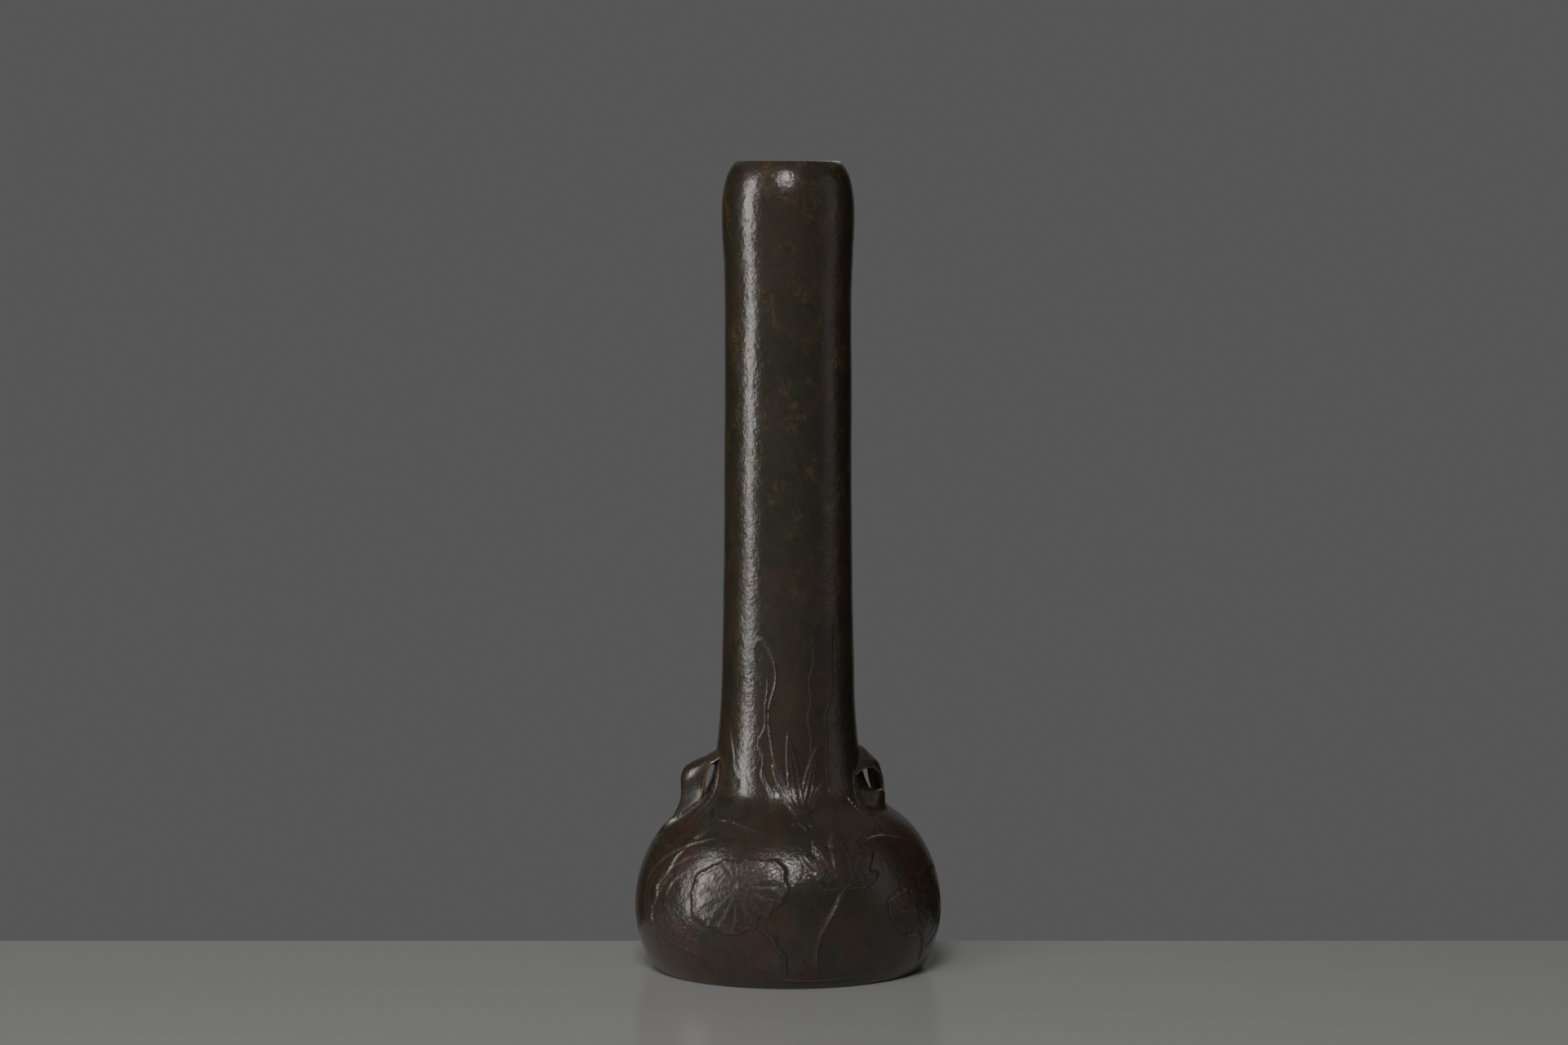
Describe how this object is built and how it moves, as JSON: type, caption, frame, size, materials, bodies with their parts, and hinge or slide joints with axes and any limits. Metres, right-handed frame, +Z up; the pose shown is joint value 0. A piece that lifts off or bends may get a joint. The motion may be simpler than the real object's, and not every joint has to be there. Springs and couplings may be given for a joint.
{
  "type": "bottle vase",
  "caption": "Tall cast bronze bottle vase with a low round belly, a long straight neck with a rolled-in mouth, and small leaf-shaped loop handles on the shoulder.",
  "frame": {"origin": "centre of the underside of the foot ring, on the vase's axis", "axes": "+Z up along the vase's axis; -Y is the side seen in the picture, so +X is to the viewer's right"},
  "size_m": [0.1372, 0.1372, 0.36],
  "materials": {
    "patinated_bronze": "cast bronze with a dark brown waxed patina, satin",
    "handle_bronze": "cast bronze with a dark brown waxed patina, satin, rubbed bright on the rims",
    "base_bronze": "cast bronze plate with a dull dark patina",
    "rivet_bronze": "drawn bronze wire, peened and patinated",
    "solder": "dull grey solder"
  },
  "bodies": {
    "root": {"belly": "patinated_bronze", "neck": "patinated_bronze", "base_plate": "base_bronze", "base_solder": "solder", "left_handle": "handle_bronze", "right_handle": "handle_bronze", "left_handle_rivets": "rivet_bronze", "right_handle_rivets": "rivet_bronze", "neck_joint_pins": "rivet_bronze"}
  },
  "joints": []
}
